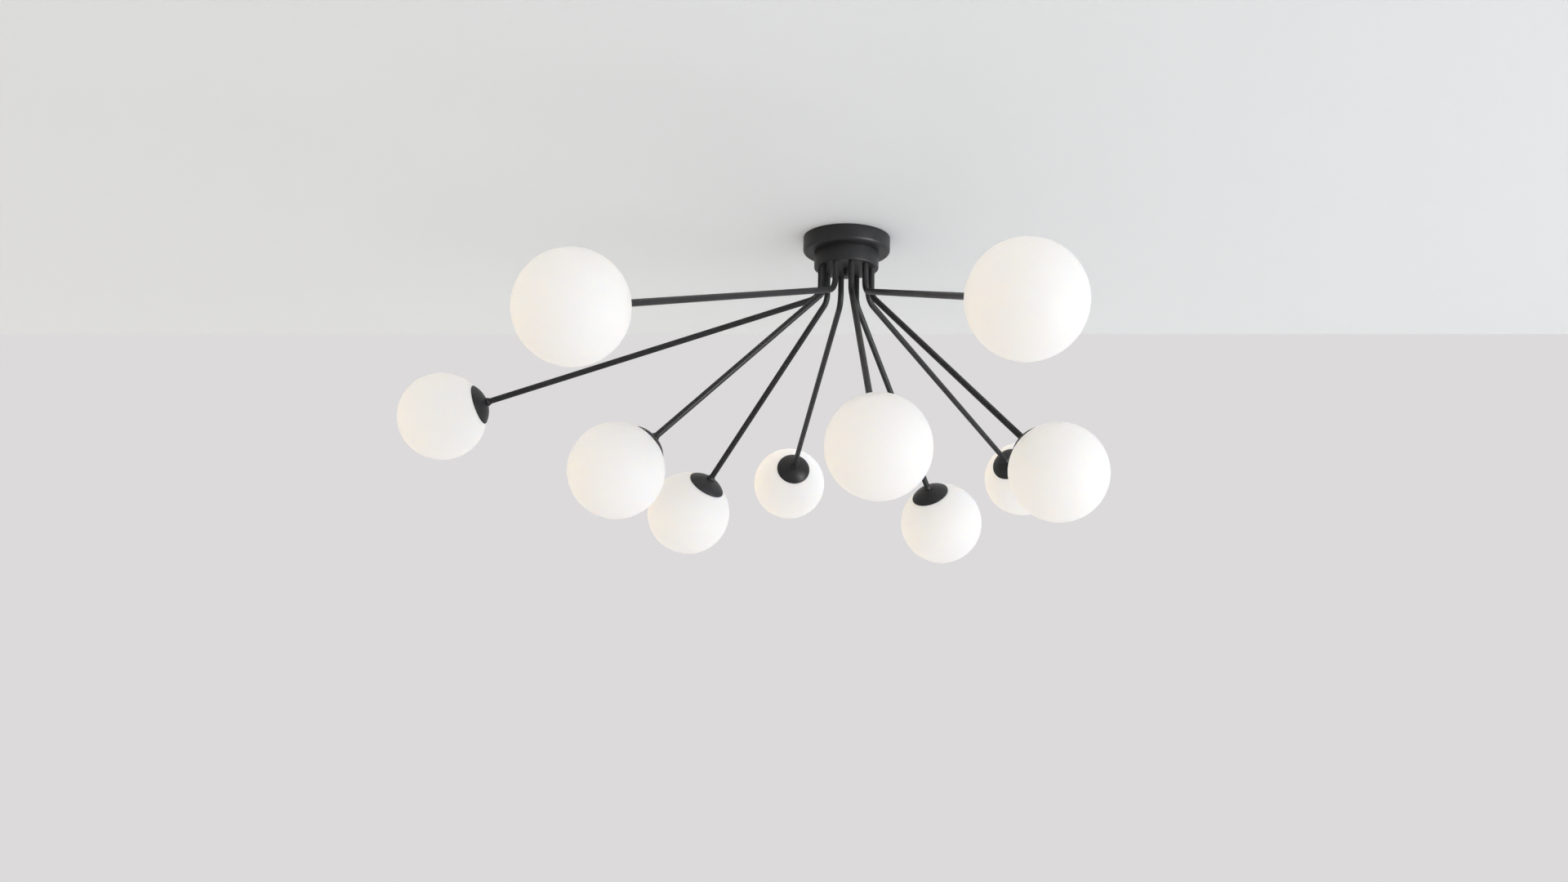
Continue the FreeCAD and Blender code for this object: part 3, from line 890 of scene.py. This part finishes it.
class MakeGlobeCaps(bpy.types.Operator):
    """Spins the domed caps with their grooved necks and sets one on each globe"""

    bl_idname = "ceiling_light.globe_caps"
    bl_label = "Globe caps"
    bl_options = {"REGISTER", "UNDO"}

    def execute(self, context):
        arms = context.scene.light_arms
        globes = context.scene.light_globes
        base = context.scene.light_base
        pattern = self.cap(globes, arms, base.fine_edge)
        use_finish(pattern, coat_material())
        for number in ARM_NUMBERS:
            piece = copy_of(pattern, "domed_cap_%02d" % number)
            put_in_place(piece, arm_frame(number))
            ride_for(piece, arm_name(number), "globe_cap_%02d" % number, "black_coat")
        remove(pattern)
        return {"FINISHED"}

    def cap(self, globes, arms, edge):
        """One cap in its globe's frame, with its neck up."""
        seat_radius, seat, top, boss_bottom = cap_levels(globes)
        rim = globes.cap_diameter / 2
        dome_height = globes.cap_height - globes.rim_edge
        dome_radius = (rim**2 + dome_height**2) / (2 * dome_height)
        dome_centre = top - dome_radius
        inner_dome = dome_radius - globes.cap_wall
        inner_height = (seat_radius**2 - inner_dome**2 + dome_centre**2) / (2 * dome_centre)
        inner_rim = math.sqrt(seat_radius**2 - inner_height**2)
        tube = arms.tube_diameter / 2
        bore = tube + arms.running_clearance
        neck = tube + globes.neck_rim
        groove = neck - globes.groove_depth
        groove_top = top + globes.groove_width
        band_top = groove_top + globes.neck_band
        neck_top = band_top + globes.neck_taper
        boss = tube + globes.boss_rim
        outline = [(rim, seat)]
        outline += arc_points(dome_centre, dome_radius, rim, groove, globes.dome_steps)
        outline += [
            (groove, groove_top), (neck, groove_top), (neck, band_top),
            (tube + globes.neck_end_rim, neck_top), (bore, neck_top),
            (bore, boss_bottom), (boss, boss_bottom),
        ]
        outline += arc_points(dome_centre, inner_dome, boss, inner_rim, globes.dome_steps // 2)
        piece = draw_outline("cap_pattern", outline)
        close_outline(piece)
        round_corner(piece, (rim, seat + globes.rim_edge), edge, FINE_EDGE_STEPS)
        round_corner(piece, (neck, groove_top), edge / 2, HIDDEN_EDGE_STEPS)
        round_corner(piece, (neck, band_top), edge, FINE_EDGE_STEPS)
        spin_outline(piece, globes.cap_segments)
        smooth(piece, CAP_SMOOTH_ANGLE)
        return piece


class MakeGlobes(bpy.types.Operator):
    """Blows the ten opal globes, each open under its cap"""

    bl_idname = "ceiling_light.globes"
    bl_label = "Globes"
    bl_options = {"REGISTER", "UNDO"}

    def execute(self, context):
        globes = context.scene.light_globes
        pattern = self.globe(globes)
        use_finish(pattern, opal_material())
        for number in ARM_NUMBERS:
            piece = copy_of(pattern, "opal_globe_%02d" % number)
            put_in_place(piece, arm_frame(number))
            ride_for(piece, arm_name(number), "globe_%02d" % number, "opal_glass")
        remove(pattern)
        return {"FINISHED"}

    def globe(self, globes):
        """One globe in its own frame: a sphere cut open, given a wall and a melted lip."""
        radius = globes.diameter / 2
        height = math.sqrt(radius**2 - (globes.opening / 2)**2)
        deselect_all()
        bpy.ops.mesh.primitive_uv_sphere_add(
            segments=globes.segments, ring_count=globes.segments // 2, radius=radius)
        piece = bpy.context.object
        piece.name = "globe_pattern"
        bpy.ops.object.mode_set(mode="EDIT")
        bpy.ops.mesh.select_all(action="SELECT")
        bpy.ops.mesh.bisect(plane_co=(0, 0, height), plane_no=UP, clear_outer=True)
        bpy.ops.object.mode_set(mode="OBJECT")
        apply_modifier(piece, "SOLIDIFY", thickness=globes.wall, offset=-1)
        apply_modifier(
            piece, "BEVEL", width=globes.lip_edge, segments=FINE_EDGE_STEPS,
            limit_method="ANGLE", angle_limit=LIP_ANGLE)
        smooth(piece)
        return piece


class FinishInnerParts(bpy.types.Operator):
    """Gives the fixings, lampholders and lamps their finishes"""

    bl_idname = "ceiling_light.inner_parts"
    bl_label = "Inner parts"
    bl_options = {"REGISTER", "UNDO"}

    def execute(self, context):
        for name in ("stem_washers", "stem_lock_nuts", "mounting_bar", "centre_rod", "rod_nut"):
            use_finish(frame["nodes"][name], zinc_material())
        use_finish(frame["nodes"]["terminal_block"], plastic_material())
        use_finish(frame["nodes"]["earth_screw"], brass_material())
        for number in ARM_NUMBERS:
            use_finish(frame["nodes"]["lampholder_%02d" % number], ceramic_material())
            use_finish(frame["nodes"]["lamp_%02d" % number], lamp_material())
        return {"FINISHED"}


class MakeStage(bpy.types.Operator):
    """Sets the camera, the lamps, the ceiling panel, the floor and the backdrop"""

    bl_idname = "ceiling_light.stage"
    bl_label = "Stage"
    bl_options = {"REGISTER", "UNDO"}

    def execute(self, context):
        stage = context.scene.light_stage
        context.scene.view_settings.view_transform = "Standard"
        camera = self.camera(stage)
        context.scene.camera = camera
        self.world(stage)
        self.ceiling_panel(stage, camera)
        self.floor(stage)
        self.lamp("key_lamp", stage.key_place, stage.key_aim, stage.key_size, stage.key_power)
        metal_lamp = self.lamp(
            "metal_lamp", stage.metal_place, stage.metal_aim, stage.metal_size, stage.metal_power)
        metal_lamp.light_linking.receiver_collection = coated_pieces()
        return {"FINISHED"}

    def camera(self, stage):
        """Camera at the photo's viewing angle, looking along +Y and a little up."""
        deselect_all()
        bpy.ops.object.camera_add(location=stage.camera_place)
        camera = bpy.context.object
        camera.name = "photo_camera"
        upright = Matrix.Rotation(math.pi / 2 + stage.camera_pitch, 4, "X")
        lean = Matrix.Rotation(stage.camera_roll, 4, "Z")
        camera.matrix_world = Matrix.Translation(stage.camera_place) @ upright @ lean
        camera.data.lens = stage.focal_length
        camera.data.sensor_width = SENSOR_WIDTH
        return camera

    def world(self, stage):
        """Soft light all round, warm at the left, and a plain pale backdrop where it is seen."""
        world = bpy.data.worlds.new("room")
        bpy.context.scene.world = world
        world.use_nodes = True
        tree = world.node_tree
        light = tree.nodes["Background"]
        axes = tree.nodes.new("ShaderNodeSeparateXYZ")
        tree.links.new(tree.nodes.new("ShaderNodeTexCoord").outputs["Generated"], axes.inputs[0])
        side = ranged(tree, axes.outputs["X"], *stage.room_turn)
        feed(tree, light, {
            "Color": mix_colour(tree, side, stage.room_left, stage.room_right),
            "Strength": stage.room_light,
        })
        backdrop = tree.nodes.new("ShaderNodeBackground")
        backdrop.inputs["Color"].default_value = stage.backdrop_colour
        mix_shaders(tree, looked_at(tree), light.outputs[0], backdrop.outputs[0], "World Output")

    def ceiling_panel(self, stage, camera):
        """Pale panel that the light hangs from. Its far edge is level in the picture."""
        edge = [self.ceiling_point(stage, camera, column) for column in (0, PICTURE_WIDTH)]
        along = (edge[1] - edge[0]).normalized()
        back = along.cross(UP)
        middle = (edge[0] + edge[1]) / 2
        deselect_all()
        bpy.ops.mesh.primitive_plane_add(size=1)
        panel = bpy.context.object
        panel.name = "ceiling_panel"
        centre = middle + back * stage.ceiling_depth / 2
        turn = Matrix((along, -back, UP)).transposed().to_4x4()
        size = Matrix.Diagonal((stage.ceiling_width, stage.ceiling_depth, 1, 1))
        put_in_place(panel, Matrix.Translation(centre) @ turn @ size)
        bpy.ops.object.mode_set(mode="EDIT")
        bpy.ops.mesh.select_all(action="SELECT")
        bpy.ops.mesh.flip_normals()
        bpy.ops.object.mode_set(mode="OBJECT")
        paint = self.matt_paint("ceiling_paint", stage.ceiling_colour, stage.ceiling_bounce)
        use_finish(panel, paint)

    def ceiling_point(self, stage, camera, column):
        """Where the camera's ray through a column and the ceiling edge's row meets the ceiling."""
        pixels = PICTURE_WIDTH * stage.focal_length / SENSOR_WIDTH
        right = (column - PICTURE_WIDTH / 2) / pixels
        rise = (PICTURE_HEIGHT / 2 - stage.ceiling_edge_row) / pixels
        ray = Vector((right, rise, -1))
        start = camera.matrix_world.translation
        heading = camera.matrix_world.to_3x3() @ ray
        return start - heading * (start.z / heading.z)

    def matt_paint(self, name, colour, bounce):
        """Matt paint that has one colour as it is seen and another in the light it sends back.

        It is on the panel's front only, so that a view from behind still shows the light.
        """
        material, tree, shader = new_material(name)
        feed(tree, shader, {
            "Base Color": mix_colour(tree, looked_at(tree), bounce, colour),
            "Roughness": MATT_ROUGHNESS,
        })
        clear = tree.nodes.new("ShaderNodeBsdfTransparent")
        behind = tree.nodes.new("ShaderNodeNewGeometry").outputs["Backfacing"]
        mix_shaders(tree, behind, shader.outputs[0], clear.outputs[0], "Material Output")
        return material

    def floor(self, stage):
        """Plain pale floor, well below the light."""
        deselect_all()
        place = (0, 0, stage.floor_level)
        bpy.ops.mesh.primitive_plane_add(size=stage.floor_width, location=place)
        floor = bpy.context.object
        floor.name = "floor"
        use_finish(floor, self.matt_paint("floor_paint", stage.floor_colour, stage.floor_bounce))

    def lamp(self, name, place, target, size, power):
        """Square soft lamp aimed at a point."""
        deselect_all()
        bpy.ops.object.light_add(type="AREA", location=place)
        lamp = bpy.context.object
        lamp.name = name
        lamp.data.size = size
        lamp.data.energy = power
        aim = Vector(target) - Vector(place)
        lamp.rotation_euler = aim.to_track_quat("-Z", "Y").to_euler()
        return lamp


OPERATORS = (
    MakeCanopy, MakeCollar, MakeCapNut, MakeArmTubes, MakeGlobeCaps, MakeGlobes,
    FinishInnerParts, MakeStage,
)


class LightPanel(bpy.types.Panel):
    """Lists the pieces of the ceiling light and their settings"""

    bl_label = "Ceiling light"
    bl_idname = "VIEW3D_PT_ceiling_light"
    bl_space_type = "VIEW_3D"
    bl_region_type = "UI"
    bl_category = "Ceiling light"

    def draw(self, context):
        for operator in OPERATORS:
            self.layout.operator(operator.bl_idname)
        for name, group in SETTINGS.items():
            box = self.layout.box()
            for label in group.__annotations__:
                box.prop(getattr(context.scene, name), label)


def register():
    for group in SETTINGS.values():
        bpy.utils.register_class(group)
    for operator in OPERATORS:
        bpy.utils.register_class(operator)
    bpy.utils.register_class(LightPanel)
    for name, group in SETTINGS.items():
        setattr(bpy.types.Scene, name, PointerProperty(type=group))


def unregister():
    for name in SETTINGS:
        delattr(bpy.types.Scene, name)
    bpy.utils.unregister_class(LightPanel)
    for operator in reversed(OPERATORS):
        bpy.utils.unregister_class(operator)
    for group in reversed(list(SETTINGS.values())):
        bpy.utils.unregister_class(group)


def main():
    register()
    bpy.ops.ceiling_light.stage()
    bpy.ops.ceiling_light.canopy()
    bpy.ops.ceiling_light.collar()
    bpy.ops.ceiling_light.cap_nut()
    bpy.ops.ceiling_light.arm_tubes()
    bpy.ops.ceiling_light.globe_caps()
    bpy.ops.ceiling_light.globes()
    bpy.ops.ceiling_light.inner_parts()


if __name__ == "__main__":
    main()
